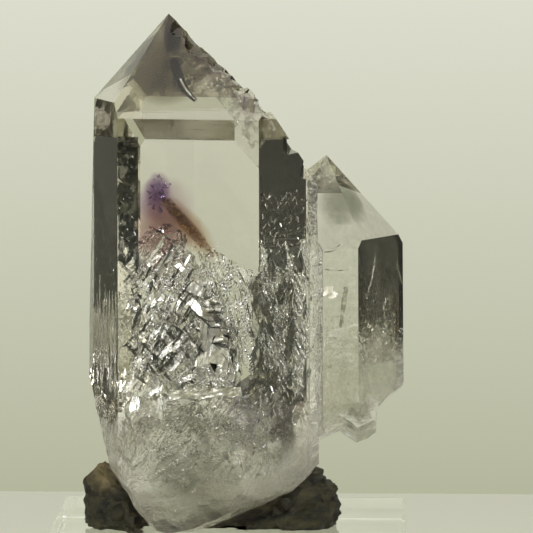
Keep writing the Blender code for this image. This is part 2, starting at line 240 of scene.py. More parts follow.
# The frosting starts about 32 mm up on the large crystal and 7 mm higher on the small one.
higher = add_node(tree, "ShaderNodeMapRange", {"From Min": 9.4, "From Max": 10.6, "To Min": 0.0, "To Max": 8.0},
                  {"Value": split.outputs["X"]})
lowered = add_node(tree, "ShaderNodeMath", {"operation": "SUBTRACT"},
                   {0: split.outputs["Z"], 1: higher.outputs["Result"]})
uneven = add_node(tree, "ShaderNodeMath", {"operation": "MULTIPLY_ADD", 1: 9.0}, {0: clouds.outputs["Fac"], 2: lowered.outputs[0]})
frost = add_node(tree, "ShaderNodeMapRange", {"From Min": 33.0, "From Max": 29.0, "To Min": 0.0, "To Max": 0.085},
                 {"Value": uneven.outputs[0]})
# The thin crystal in the joint is frosted all over.
from_rib = add_node(tree, "ShaderNodeCombineXYZ", links={"X": split.outputs["X"], "Y": split.outputs["Y"]})
rib_reach = add_node(tree, "ShaderNodeVectorMath", {"operation": "DISTANCE", 1: (9.3, -3.8, 0.0)}, {0: from_rib.outputs["Vector"]})
rib_frost = add_node(tree, "ShaderNodeMapRange", {"From Min": 0.95, "From Max": 1.25, "To Min": 0.17, "To Max": 0.0},
                     {"Value": rib_reach.outputs["Value"]})
all_frost = add_node(tree, "ShaderNodeMath", {"operation": "MAXIMUM"},
                     {0: frost.outputs["Result"], 1: rib_frost.outputs["Result"]})
tree.links.new(all_frost.outputs[0], quartz_shader.inputs["Roughness"])
# Growth lines run level across the prism faces, 0.2 to 1 mm apart and a micron or two deep.
lines = add_node(tree, "ShaderNodeTexNoise", {"Scale": 1.0, "Detail": 3.0, "Roughness": 0.55},
                 {"Vector": object_place(tree, (0.05, 0.05, 1.3))})
line_bump = add_node(tree, "ShaderNodeBump", {"Strength": 0.3, "Distance": 0.012 * MM}, {"Height": lines.outputs["Fac"]})
etching = add_node(tree, "ShaderNodeTexNoise", {"Scale": 0.4, "Detail": 5.0, "Roughness": 0.62}, {"Vector": place})
etch_amount = add_node(tree, "ShaderNodeMath", {"operation": "MULTIPLY"},
                       {0: etching.outputs["Fac"], 1: all_frost.outputs[0]})
etch_bump = add_node(tree, "ShaderNodeBump", {"Strength": 1.0, "Distance": 8.0 * MM},
                     {"Height": etch_amount.outputs[0], "Normal": line_bump.outputs["Normal"]})
tree.links.new(etch_bump.outputs["Normal"], quartz_shader.inputs["Normal"])
crystals = refinish("quartz_crystals", quartz)
crystals.visible_shadow = False


# The milky foot
# The lower third is clouded by countless tiny fluid bubbles, and a thinner haze reaches up to
# the window. Both are drawn as uneven veils that follow the outside of the crystals.

SKIN = 0.08  # the least depth of an inclusion under the stone's surface


def enclose(piece, material):
    """Finishes an inclusion. What would stand out of the stone is moved to just under its skin."""
    for vert in piece.data.vertices:
        _, near, normal, _ = crystals.closest_point_on_mesh(vert.co)
        if (vert.co - near).dot(normal) > -SKIN * MM:
            vert.co = near - SKIN * MM * normal
    piece.data.materials.append(material)
    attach(piece, "root")
    return piece


def cloud_material(name, colour, most, top, fade, patch):
    """A veil that scatters light both ways and thins out upwards. most is how much of the light
    it catches where it is thickest, top and fade where it ends, patch its grain in millimetres."""
    material, shader = new_material(name, colour, 0.9)
    tree = material.node_tree
    place = object_place(tree)
    split = add_node(tree, "ShaderNodeSeparateXYZ", links={"Vector": place})
    higher = add_node(tree, "ShaderNodeMapRange", {"From Min": 9.0, "From Max": 10.6, "To Min": 0.0, "To Max": 10.0},
                      {"Value": split.outputs["X"]})
    lowered = add_node(tree, "ShaderNodeMath", {"operation": "SUBTRACT"},
                       {0: split.outputs["Z"], 1: higher.outputs["Result"]})
    wisps = add_node(tree, "ShaderNodeTexNoise", {"Scale": 1.0 / patch, "Detail": 5.0, "Roughness": 0.62, "Distortion": 0.6},
                     {"Vector": place})
    uneven = add_node(tree, "ShaderNodeMath", {"operation": "MULTIPLY_ADD", 1: 11.0},
                      {0: wisps.outputs["Fac"], 2: lowered.outputs[0]})
    body = add_node(tree, "ShaderNodeMapRange", {"From Min": top + 5.5, "From Max": top + 5.5 - fade, "To Min": 0.0, "To Max": 1.0},
                    {"Value": uneven.outputs[0]})
    grain = add_node(tree, "ShaderNodeTexNoise", {"Scale": 2.2 / patch, "Detail": 6.0, "Roughness": 0.7}, {"Vector": place})
    patchy = add_node(tree, "ShaderNodeMapRange", {"From Min": 0.36, "From Max": 0.62, "To Min": 0.05 * most, "To Max": most},
                      {"Value": grain.outputs["Fac"]})
    thicker = add_node(tree, "ShaderNodeMapRange", {"From Min": 9.0, "From Max": 10.6, "To Min": 1.0, "To Max": 2.0},
                       {"Value": split.outputs["X"]})
    patches = add_node(tree, "ShaderNodeMath", {"operation": "MULTIPLY"},
                       {0: patchy.outputs["Result"], 1: thicker.outputs["Result"]})
    caught = add_node(tree, "ShaderNodeMath", {"operation": "MULTIPLY"},
                      {0: body.outputs["Result"], 1: patches.outputs[0]})
    clear = add_node(tree, "ShaderNodeBsdfTransparent")
    through = add_node(tree, "ShaderNodeBsdfTranslucent", {"Color": linear_colour(colour)})
    both = add_node(tree, "ShaderNodeMixShader", {0: 0.5}, {1: shader.outputs["BSDF"], 2: through.outputs["BSDF"]})
    veil = add_node(tree, "ShaderNodeMixShader",
                    links={0: caught.outputs[0], 1: clear.outputs["BSDF"], 2: both.outputs["Shader"]})
    tree.links.new(veil.outputs["Shader"], tree.nodes["Material Output"].inputs["Surface"])
    return material


def veil_shell(name, top, depth, smoothing, material):
    """An open skin that follows the crystals from the foot up to a height, a little inside them."""
    shell = merged_copy("quartz_crystals", name)
    remesh(shell, 0.7)
    bpy.ops.object.mode_set(mode="EDIT")
    bpy.ops.mesh.select_all(action="SELECT")
    bpy.ops.mesh.bisect(plane_co=(0, 0, top * MM), plane_no=(0, 0, 1), clear_outer=True)
    bpy.ops.mesh.select_all(action="SELECT")
    bpy.ops.transform.shrink_fatten(value=-depth * MM)
    bpy.ops.mesh.vertices_smooth(factor=0.5, repeat=smoothing)
    bpy.ops.object.mode_set(mode="OBJECT")
    for polygon in shell.data.polygons:
        polygon.use_smooth = True
    return enclose(shell, material)


haze = cloud_material("faint_haze", "a4a28c", 0.12, 45.0, 20.0, 1.8)
milk = cloud_material("milky_quartz", "d8dac4", 0.32, 27.5, 8.0, 1.2)
veil_shell("haze_veil", 52.0, 0.7, 2, haze)
veil_shell("milky_veil_outer", 46.0, 1.4, 3, milk)
veil_shell("milky_veil_inner", 46.0, 3.0, 5, milk)


# The amethyst phantom
# An earlier tip of the crystal, grown over: a small tent of violet that fades to mauve
# below, with a brown streak of iron oxide down its right side.

def soft_body(name, middle, half, turn, colour, density, ragged=0.12):
    """A closed lens of coloured quartz, or a cloud of painted shade, flat towards -Y before it is
    turned. It thins out slowly to its rim, so its edge is soft. ragged is how uneven its outline is."""
    deselect()
    bpy.ops.mesh.primitive_uv_sphere_add(
        segments=64, ring_count=40, radius=MM, rotation=(math.radians(90.0), 0.0, 0.0))
    body = bpy.context.object
    body.name = name
    bpy.ops.object.transform_apply(location=True, rotation=True, scale=True)
    for vert in body.data.vertices:
        spread = math.hypot(vert.co.x, vert.co.z) / MM
        vert.co.y *= max(0.0, 1.0 - min(spread, 1.0) ** 2) ** 0.9
        push = 1.0 + ragged * noise.noise(Vector((vert.co.x, 0.0, vert.co.z)) * (2.2 / MM) + Vector(middle))
        vert.co.x *= push
        vert.co.z *= push
    body.scale = half
    body.rotation_euler = tuple(math.radians(t) for t in turn)
    body.location = tuple(c * MM for c in middle)
    bpy.ops.object.transform_apply(location=True, rotation=True, scale=True)
    material = bpy.data.materials.new(name)
    material.use_nodes = True
    tree = material.node_tree
    tree.nodes.remove(tree.nodes["Principled BSDF"])
    fill_with_tint(material, colour, density)
    return enclose(body, material)


soft_body("violet_tip", (-6.9, -6.0, 52.6), (1.5, 1.1, 2.2), (0, 6, 0), "a070b4", 760.0)
soft_body("violet_fringe", (-7.2, -6.0, 51.6), (2.1, 1.2, 2.4), (0, 28, 0), "b88cc0", 460.0)
soft_body("violet_glow", (-6.0, -5.6, 51.2), (3.3, 1.4, 3.4), (0, -24, 0), "ccacc4", 330.0)
soft_body("mauve_skirt", (-7.0, -5.6, 48.6), (3.0, 1.6, 3.6), (0, 12, 0), "c89c98", 520.0)
soft_body("mauve_body", (-5.0, -5.4, 49.0), (3.4, 1.5, 2.6), (0, 40, 0), "ccaaa0", 380.0)
soft_body("iron_streak", (-3.9, -6.2, 49.2), (0.75, 0.8, 4.4), (0, -42, 0), "a0661e", 1500.0)
soft_body("iron_glow", (-3.4, -6.0, 48.6), (1.6, 1.0, 4.6), (0, -40, 0), "c8a064", 620.0)


# The healed fractures
# Cracks and skeletal cavities inside the crystal hold films of air and fluid. Each film is a
# mirror, so the zone glitters silver and black: crumpled sheets, terraces and loose flakes.
# The darker films at the back of the zone and behind the right veil are painted shade.

def film_material(name, pale, dark, rough, least, most, patch):
    """A film of air in quartz: mirror-like, finely grooved, stained in places, and missing in
    others. patch is the size of the gaps in millimetres."""
    material, shader = new_material(name, pale, rough)
    shader.inputs["Metallic"].default_value = 1.0
    tree = material.node_tree
    place = object_place(tree)
    patches = add_node(tree, "ShaderNodeTexNoise", {"Scale": 1.0 / patch, "Detail": 4.0, "Roughness": 0.6}, {"Vector": place})
    cover = add_node(tree, "ShaderNodeMapRange", {"From Min": 0.44, "From Max": 0.52, "To Min": least, "To Max": most},
                     {"Value": patches.outputs["Fac"]})
    tree.links.new(cover.outputs["Result"], shader.inputs["Alpha"])
    stains = add_node(tree, "ShaderNodeTexNoise", {"Scale": 0.45, "Detail": 6.0, "Roughness": 0.7, "Distortion": 0.5},
                      {"Vector": place})
    stain = add_node(tree, "ShaderNodeMapRange", {"From Min": 0.46, "From Max": 0.6}, {"Value": stains.outputs["Fac"]})
    colour = add_node(tree, "ShaderNodeMix", {"data_type": "RGBA", 6: linear_colour(pale), 7: linear_colour(dark)},
                      {0: stain.outputs["Result"]})
    tree.links.new(colour.outputs[2], shader.inputs["Base Color"])
    grooves = add_node(tree, "ShaderNodeTexNoise", {"Scale": 1.0, "Detail": 4.0, "Roughness": 0.6, "Distortion": 0.8},
                       {"Vector": object_place(tree, (2.6, 2.6, 0.8), (0, 30, 0))})
    groove_bump = add_node(tree, "ShaderNodeBump", {"Strength": 0.5, "Distance": 0.06 * MM}, {"Height": grooves.outputs["Fac"]})
    tree.links.new(groove_bump.outputs["Normal"], shader.inputs["Normal"])
    return material


def gap_material(name, rough):
    """The wall of an open crack: clear where it is seen square on, a mirror where it isn't. Its
    sheets face away from the front, as the near wall of the gap does."""
    material, shader = new_material(name, roughness=rough, ior=1.544)
    shader.inputs["Transmission Weight"].default_value = 1.0
    return material


def crack_wall(sheet):
    """Turns a sheet of film into the near wall of an open crack."""
    deselect()
    sheet.select_set(True)
    bpy.context.view_layer.objects.active = sheet
    bpy.ops.object.mode_set(mode="EDIT")
    bpy.ops.mesh.select_all(action="SELECT")
    bpy.ops.mesh.flip_normals()
    bpy.ops.object.mode_set(mode="OBJECT")
    sheet.visible_shadow = False
    return sheet


def face_place(azimuth, distance, along, height, depth):
    """A point behind a flat face of the crystal: how far along it, how high and how deep, in
    millimetres."""
    around = math.radians(azimuth)
    out = Vector((math.sin(around), -math.cos(around), 0.0))
    side = Vector((math.cos(around), math.sin(around), 0.0))
    return out * (distance - depth) + side * along + Vector((0.0, 0.0, height))


def trim(sheet, outline):
    """Cuts away the faces of a flat sheet that its outline doesn't keep."""
    bpy.ops.object.mode_set(mode="EDIT")
    bpy.ops.mesh.select_mode(type="FACE")
    bpy.ops.mesh.select_all(action="DESELECT")
    bpy.ops.object.mode_set(mode="OBJECT")
    for polygon in sheet.data.polygons:
        polygon.select = not outline(polygon.center.x / MM, polygon.center.y / MM)
    bpy.ops.object.mode_set(mode="EDIT")
    bpy.ops.mesh.delete(type="FACE")
    bpy.ops.mesh.select_mode(type="VERT")
    bpy.ops.object.mode_set(mode="OBJECT")


def crumpled_sheet(name, middle, size, turn, cell, crumple, keep, seed, material, outline=None):
    """A sheet of film, facing -Y before it is turned: crumpled, with a share of its facets
    missing. outline says, for a place on the sheet, whether the film reaches it."""
    deselect()
    bpy.ops.mesh.primitive_grid_add(
        x_subdivisions=max(2, round(size[0] / cell)), y_subdivisions=max(2, round(size[1] / cell)), size=MM)
    sheet = bpy.context.object
    sheet.name = name
    sheet.scale = (size[0], size[1], 1.0)
    bpy.ops.object.transform_apply(location=True, rotation=True, scale=True)
    bpy.ops.object.mode_set(mode="EDIT")
    bpy.ops.mesh.select_all(action="SELECT")
    bpy.ops.transform.vertex_random(offset=crumple * MM, uniform=1.0, seed=seed)
    bpy.ops.mesh.quads_convert_to_tris(quad_method="BEAUTY", ngon_method="BEAUTY")
    bpy.ops.mesh.select_mode(type="FACE")
    bpy.ops.mesh.select_all(action="DESELECT")
    bpy.ops.mesh.select_random(ratio=1.0 - keep, seed=seed)
    bpy.ops.mesh.delete(type="FACE")
    bpy.ops.mesh.select_mode(type="VERT")
    bpy.ops.object.mode_set(mode="OBJECT")
    if outline:
        trim(sheet, outline)
    sheet.rotation_euler = (math.radians(90 + turn[0]), math.radians(turn[1]), math.radians(turn[2]))
    sheet.location = tuple(c * MM for c in middle)
    bpy.ops.object.transform_apply(location=True, rotation=True, scale=True)
    return enclose(sheet, material)


def loose_flakes(name, flakes, crumple, seed, material):
    """Many single flakes as one piece: the place, corners, radius, slimness and turn of each."""
    deselect()
    bpy.ops.mesh.primitive_circle_add(
        vertices=3, radius=0.01 * MM, fill_type="NGON", location=tuple(c * MM for c in flakes[0][0]))
    field = bpy.context.object
    field.name = name
    bpy.ops.object.transform_apply(location=True, rotation=True, scale=True)
    bpy.ops.object.mode_set(mode="EDIT")
    for where, corners, radius, slim, turn in flakes:
        bpy.ops.mesh.primitive_circle_add(
            vertices=corners, radius=radius * MM, fill_type="NGON", location=tuple(c * MM for c in where), rotation=turn)
    bpy.ops.object.mode_set(mode="OBJECT")
    # Each flake is narrowed across its length, about its own middle.
    first = 3
    for where, corners, radius, slim, turn in flakes:
        facing = Euler(turn).to_matrix()
        narrow = facing @ Matrix.Diagonal((1.0, slim, 1.0)) @ facing.transposed()
        for vert in field.data.vertices[first:first + corners]:
            vert.co = where * MM + narrow @ (vert.co - where * MM)
        first += corners
    bpy.ops.object.mode_set(mode="EDIT")
    bpy.ops.mesh.select_all(action="SELECT")
    bpy.ops.transform.vertex_random(offset=crumple * MM, uniform=0.3, seed=seed)
    bpy.ops.mesh.quads_convert_to_tris(quad_method="BEAUTY", ngon_method="BEAUTY")
    bpy.ops.object.mode_set(mode="OBJECT")
    return enclose(field, material)


def flake_field(name, azimuth, distance, along, height, depth, count, size, tilt, seed, material,
                slim=1.0, leans=()):
    """Loose flakes of film behind a face. along, height and depth are ranges in millimetres. slim
    is their width over their length, and leans the angles that long ones lie at."""
    rng = random.Random(seed)
    flakes = []
    for _ in range(count):
        where = face_place(azimuth, distance, rng.uniform(*along), rng.uniform(*height), rng.uniform(*depth))
        lean = rng.choice(leans) + rng.gauss(0, 9) if leans else rng.uniform(0, 360)
        facing = Euler((math.radians(90 + rng.gauss(0, tilt)), 0.0, math.radians(azimuth + rng.gauss(0, tilt))))
        turn = (facing.to_matrix() @ Matrix.Rotation(math.radians(lean), 3, "Z")).to_euler()
        radius = size * rng.uniform(0.3, 1.0) ** 2 + 0.03
        flakes.append((where, rng.choice((4, 5, 6, 7)), radius, slim, turn))
    return loose_flakes(name, flakes, 0.35 * size * slim, seed, material)


def rippled_sheet(name, middle, size, turn, cell, relief, ripple, lean, seed, material, outline=None):
    """A sheet of film with the sharp, flowing ripples of a shell-like break. ripple is their length
    along and across their run, which leans by an angle."""
    deselect()
    bpy.ops.mesh.primitive_grid_add(
        x_subdivisions=round(size[0] / cell), y_subdivisions=round(size[1] / cell), size=MM)
    sheet = bpy.context.object
    sheet.name = name
    sheet.scale = (size[0], size[1], 1.0)
    bpy.ops.object.transform_apply(location=True, rotation=True, scale=True)
    turned = Matrix.Rotation(math.radians(-lean), 3, "Z")
    for vert in sheet.data.vertices:
        place = turned @ (vert.co / MM)
        spot = Vector((place.x / ripple[0], place.y / ripple[1], seed))
        vert.co.z += relief * MM * noise.ridged_multi_fractal(spot, 1.1, 2.1, 3, 1.0, 2.0)
    if outline:
        trim(sheet, outline)
    sheet.rotation_euler = (math.radians(90 + turn[0]), math.radians(turn[1]), math.radians(turn[2]))
    sheet.location = tuple(c * MM for c in middle)
    bpy.ops.object.transform_apply(location=True, rotation=True, scale=True)
    return enclose(sheet, material)


def broken_sheet(name, middle, size, turn, cell, facet, lean, slant, step, seed, material, outline=None):
    """A sheet of film broken into flat facets, each tilted its own way and a step apart. facet is
    their size along and across their run, which leans by an angle."""
    deselect()
    bpy.ops.mesh.primitive_grid_add(
        x_subdivisions=round(size[0] / cell), y_subdivisions=round(size[1] / cell), size=MM)
    sheet = bpy.context.object
    sheet.name = name
    sheet.scale = (size[0], size[1], 1.0)
    bpy.ops.object.transform_apply(location=True, rotation=True, scale=True)
    turned = Matrix.Rotation(math.radians(-lean), 3, "Z")
    for vert in sheet.data.vertices:
        place = turned @ (vert.co / MM)
        spot = Vector((place.x / facet[0], place.y / facet[1], seed))
        spot += 0.3 * noise.noise_vector(spot * 0.8)
        nearest = noise.voronoi(spot)[1][0]
        chance = noise.cell_vector(nearest * 91.0)
        away = spot - nearest
        tilt = (chance.x - 0.5) * away.x * facet[0] + (chance.y - 0.5) * away.y * facet[1]
        vert.co.z += (2.0 * slant * tilt + step * (chance.z - 0.5)) * MM
    if outline:
        trim(sheet, outline)
    sheet.rotation_euler = (math.radians(90 + turn[0]), math.radians(turn[1]), math.radians(turn[2]))
    sheet.location = tuple(c * MM for c in middle)
    bpy.ops.object.transform_apply(location=True, rotation=True, scale=True)
    return enclose(sheet, material)


def on_front(x, z, depth):
    """A point that lies a depth behind the large crystal's front face."""
    return Vector((x, -(9.5 + 0.1908 * x) / 0.9816 + depth, z))


def placed_flakes(name, flakes, facing, material):
    """Single large flakes where the stone shows them: place, length, width and lean of each. facing
    is the azimuth and the rise that they look at."""
    face = Euler((math.radians(90 - facing[1]), 0.0, math.radians(facing[0]))).to_matrix()
    return loose_flakes(name, [
        (where, (5, 8, 6, 7)[number % 4], length / 2, width / length,
         (face @ Matrix.Rotation(math.radians(lean), 3, "Z")).to_euler())
        for number, (where, length, width, lean) in enumerate(flakes)], 0.15, 5, material)


def terraces(name, middle, width, steps, rise, tread, turn, seed, material):
    """A flight of small growth steps, seen from the front: each riser is upright and each tread
    level, and their ends are uneven."""
    rng = random.Random(seed)
    deselect()
    bpy.ops.mesh.primitive_grid_add(x_subdivisions=14, y_subdivisions=2 * steps - 1, size=MM)
    flight = bpy.context.object
    flight.name = name
    rows = sorted({round(vert.co.y / MM, 5) for vert in flight.data.vertices})
    ends = [(rng.uniform(0.7, 1.0), rng.uniform(0.7, 1.0)) for _ in rows]
    for vert in flight.data.vertices:
        row = rows.index(round(vert.co.y / MM, 5))
        reach = ends[row // 2][0 if vert.co.x < 0 else 1]
        ripple = 0.25 * noise.noise(Vector((vert.co.x / MM * 4, row // 2, seed)))
        vert.co.x *= width * reach
        vert.co.y = ((row // 2 + row % 2 - steps / 2) * rise) * MM
        vert.co.z = -((row // 2 - steps / 2) * tread + ripple * tread) * MM
    flight.rotation_euler = (math.radians(90 + turn[0]), math.radians(turn[1]), math.radians(turn[2]))
    flight.location = tuple(c * MM for c in middle)
    bpy.ops.object.transform_apply(location=True, rotation=True, scale=True)
    return enclose(flight, material)


def growth_bar(name, start, end, thick, material):
    """A square channel left by skeletal growth, as a slim bar between two points."""
    deselect()
    start, end = Vector(start) * MM, Vector(end) * MM
    bpy.ops.mesh.primitive_cube_add(size=1.0, scale=(thick * MM, thick * 0.5 * MM, (end - start).length))
    bar = bpy.context.object
    bar.name = name
    bpy.ops.object.mode_set(mode="EDIT")
    bpy.ops.mesh.select_all(action="SELECT")
    bpy.ops.mesh.bevel(offset=thick * 0.15 * MM, segments=1)
    bpy.ops.mesh.subdivide(number_cuts=3)
    bpy.ops.transform.vertex_random(offset=0.05 * thick * MM, seed=4)
    bpy.ops.object.mode_set(mode="OBJECT")
    bar.rotation_euler = (end - start).to_track_quat("Z", "Y").to_euler()
    bar.location = (start + end) / 2
    bpy.ops.object.transform_apply(location=True, rotation=True, scale=True)
    return enclose(bar, material)


# The right edge of the main fracture zone: along the front face, and how high, in millimetres.
ZONE_EDGE = ((-6.4, 49.6), (-4.2, 48.6), (-3.4, 47.2), (-0.4, 43.6), (1.4, 41.5), (2.4, 38.0), (3.6, 36.0), (5.6, 33.0))


def zone_edge(height):
    """How far the zone reaches to the right at a height."""
    for upper, lower in zip(ZONE_EDGE, ZONE_EDGE[1:]):
        if height >= lower[1]:
            share = min(1.0, (upper[1] - height) / (upper[1] - lower[1]))
            return upper[0] + (lower[0] - upper[0]) * max(0.0, share)
    return ZONE_EDGE[-1][0]


def inside_zone(middle, depth, hole=False):
    """An outline for a sheet whose middle lies at (along, height), a depth behind the front face.
    The hole leaves the growth terraces free."""
    def keep(x, y):
        along, height = middle[0] + x, middle[1] + y
        ragged = 0.9 * noise.noise(Vector((along, height, 3.0)) * 0.8)
        roof = 48.8 - 0.55 * max(0.0, -6.6 - along)
        if hole and math.hypot((along - 0.8) / 1.7, (height - 37.4) / 3.6) < 1.0 + 0.3 * ragged:
            return False
        inside = -9.3 + 0.62 * depth < along < zone_edge(height) + ragged
        return inside and 31.4 < height - ragged < roof
    return keep


def right_of_zone(middle):
    """An outline for the smoother veil between the zone and the crystal's right edge."""
    def keep(x, y):
        along, height = middle[0] + x, middle[1] + y
        ragged = 0.8 * noise.noise(Vector((along, height, 8.0)) * 0.7)
        return along > zone_edge(height) - 0.6 and height < 46.2 - 0.35 * (along - 1.0) + ragged
    return keep


def inside_foot(x, y):
    """The outline of the broken foot, for a sheet about its middle at x -1.5, z 24.5."""
    across, height = x - 1.5, y + 24.5
    ragged = 1.6 * noise.noise(Vector((across, height, 5.0)) * 0.6)
    left = -10.8 + 0.68 * (24.3 - min(height, 24.3))
    right = 6.0 - 1.71 * (23.6 - min(height, 23.6)) + ragged
    return left < across < right and 22.4 < height - ragged < 31.8


open_crack = gap_material("open_crack", 0.0)
silver_film = film_material("silvery_film", "eceade", "8d8468", 0.1, 0.1, 0.9, 1.2)
ripple_film = film_material("rippled_film", "f4f2e6", "a29a80", 0.12, 0.3, 0.95, 3.2)
dark_film = film_material("shadowed_film", "6a6857", "2c2a20", 0.2, 0.1, 0.8, 1.2)
# Painted shade: a dark film set behind the right veil to darken that side.
painted_backing_shade = film_material("painted_backing_shade", "7c7860", "2a2a1e", 0.25, 0.35, 0.95, 1.4)
# Painted shade: the darker film at the back of the fracture zone.
shade_film = film_material("deep_painted_shade", "8c886a", "302e20", 0.25, 0.1, 0.75, 1.1)
fine_film = film_material("fine_film", "c8c7b8", "8a8266", 0.2, 0.05, 0.5, 0.7)
bright_film = film_material("bright_film", "fbfaf2", "c8c2ac", 0.26, 0.2, 1.0, 0.5)
step_film = film_material("stepped_film", "f2f0e4", "b4ae98", 0.3, 0.7, 1.0, 1.5)
black_film = film_material("black_film", "3c3d32", "12120c", 0.1, 0.75, 1.0, 1.0)
violet_film = film_material("violet_film", "a98fc4", "6a4a86", 0.12, 0.0, 0.8, 0.6)
iron_film = film_material("iron_film", "8a6430", "3c2a12", 0.5, 0.0, 0.8, 0.5)
tube_film = film_material("tube_film", "2c2c24", "0c0c08", 0.12, 1.0, 1.0, 1.0)

# The zone itself, from its front to its back.
crack_wall(broken_sheet(
    "fracture_front", face_place(-11, 9.5, -3.6, 40.0, 1.7), (13.0, 18.0), (0, 0, -11), 0.12, (3.2, 1.1), 54, 1.0, 0.7,
    3.0, open_crack, inside_zone((-3.6, 40.0), 1.7, hole=True)))
crack_wall(rippled_sheet(
    "fracture_middle", face_place(-11, 9.5, -3.6, 40.0, 3.2), (13.0, 18.0), (-6, 0, -16), 0.14, 0.8, (3.6, 1.4), -50, 9.0,
    open_crack, inside_zone((-3.6, 40.0), 3.2, hole=True)))
# The back sheet is darkened with painted shade.
broken_sheet("fracture_deep", face_place(-11, 9.5, -3.6, 40.0, 4.8), (13.0, 18.0), (-6, 0, -6), 0.15, (3.6, 1.3), 50, 0.5, 0.5,
             7.0, shade_film, inside_zone((-3.6, 40.0), 4.8))
terraces("growth_terraces", on_front(-0.9, 37.6, 2.5), 3.4, 8, 0.85, 0.2, (-15, 4, -8), 5, step_film)
placed_flakes("terrace_edges", [
    (on_front(-1.0 + 0.05 * step, 41.2 - 0.82 * step, 1.7), 3.0 - 0.26 * abs(step - 3), 0.15, 1 + 3 * (step % 3)) for step in range(9)],
    (-24, 16), step_film)
placed_flakes("terrace_shadows", [
    (on_front(-0.8 + 0.05 * step, 40.85 - 0.82 * step, 1.65), 2.6 - 0.24 * abs(step - 3), 0.11, 1 + 3 * (step % 3)) for step in range(9)],
    (-11, 0), black_film)
terraces("upper_terraces", on_front(-2.6, 42.8, 1.2), 2.0, 4, 0.5, 0.2, (-15, 24, -14), 6, step_film)
broken_sheet("grey_facet", on_front(-1.3, 33.8, 1.5), (3.8, 2.0), (-12, 12, -14), 0.12, (3.6, 1.4), 8, 0.1, 0.12, 6.0, step_film)
growth_bar("growth_bar_upper", on_front(-4.7, 41.6, 0.6), on_front(-1.4, 38.5, 1.4), 0.3, black_film)
growth_bar("growth_bar_lower", on_front(-4.2, 38.4, 0.6), on_front(-1.6, 35.0, 1.6), 0.28, black_film)
rippled_sheet("dark_diagonal", on_front(-0.7, 39.8, 1.6), (1.8, 6.6), (0, -31, -11), 0.1, 0.5, (2.0, 0.3), 80, 12.0, dark_film,
              lambda x, y: abs(x) < 0.3 + 0.9 * noise.noise(Vector((x * 3, y * 1.2, 1.0))))
rippled_sheet("lower_lip", on_front(-1.9, 31.7, 0.9), (7.8, 1.1), (20, -5, -11), 0.12, 0.4, (2.0, 0.5), 8, 15.0, step_film)
rippled_sheet("left_dark_strip", on_front(-10.0, 50.6, 0.8), (2.2, 15.4), (0, 0, -11), 0.14, 0.3, (1.4, 0.8), 70, 17.0, black_film,
              lambda x, y: y > -5.2 + 2.6 * noise.noise(Vector((x * 1.6, y * 0.7, 4.0))))

# The right of the front and the two dark sides: fine, mostly upright scratches and spangles.
crack_wall(rippled_sheet(
    "veil_front_right", face_place(-11, 9.5, 1.9, 38.0, 1.4), (5.8, 17.0), (0, 0, -11), 0.13, 0.3, (5.0, 0.8), 106, 18.0,
    open_crack, right_of_zone((1.9, 38.0))))
crack_wall(rippled_sheet(
    "veil_right", face_place(48.7, 9.7, -0.9, 38.0, 0.8), (7.8, 24.0), (0, 0, 48.7), 0.13, 0.24, (2.6, 0.6), 122, 21.0, open_crack,
    lambda x, y: -6.2 < y - 3.0 * noise.noise(Vector((x * 0.9, y * 0.4, 2.0))) < 8.6
    and noise.noise(Vector((x * 0.7, y * 0.3, 12.0))) > -0.1 + 0.012 * y))
# Painted shade: a sheet of dark film behind the right veil that darkens it.
broken_sheet("veil_right_back", face_place(48.7, 9.7, -0.9, 37.0, 2.0), (6.8, 16.0), (0, 0, 48.7), 0.18, (1.8, 0.7), 64, 0.5, 0.4,
             9.0, painted_backing_shade, lambda x, y: abs(y) < 7.0 + 1.0 * noise.noise(Vector((x, y, 5.0)) * 0.6))
crack_wall(rippled_sheet(
    "veil_left", face_place(-70.8, 13.1, -2.7, 34.0, 0.9), (10.0, 18.0), (0, 0, -70.8), 0.14, 0.13, (5.0, 1.5), 84, 24.0, open_crack,
    lambda x, y: -1.5 < y - 5.0 * noise.noise(Vector((x * 1.3, y * 0.22, 6.0))) < 6.2))
crack_wall(rippled_sheet(
    "foot_scratches", (-1.5, -8.1, 24.5), (18.6, 16.0), (8, 0, -8), 0.15, 0.15, (3.2, 1.1), 58, 31.0, open_crack, inside_foot))
broken_sheet("foot_breaks", (-1.5, -5.9, 24.5), (18.6, 16.0), (8, 0, -8), 0.2, (4.0, 1.6), 52, 0.5, 0.6, 35.0, fine_film, inside_foot)
crumpled_sheet("veil_foot_back", face_place(-11, 9.5, -1.0, 27.0, 7.0), (14.0, 11.0), (12, -12, 10), 2.8, 1.1, 0.7, 14, dark_film)
crumpled_sheet("violet_spangles", (-6.9, -6.9, 52.4), (2.0, 3.6), (0, 12, -11), 0.4, 0.3, 0.5, 15, violet_film)
crumpled_sheet("iron_spangles", (-3.6, -7.6, 48.8), (1.1, 7.6), (0, -42, -11), 0.2, 0.16, 0.6, 16, iron_film)

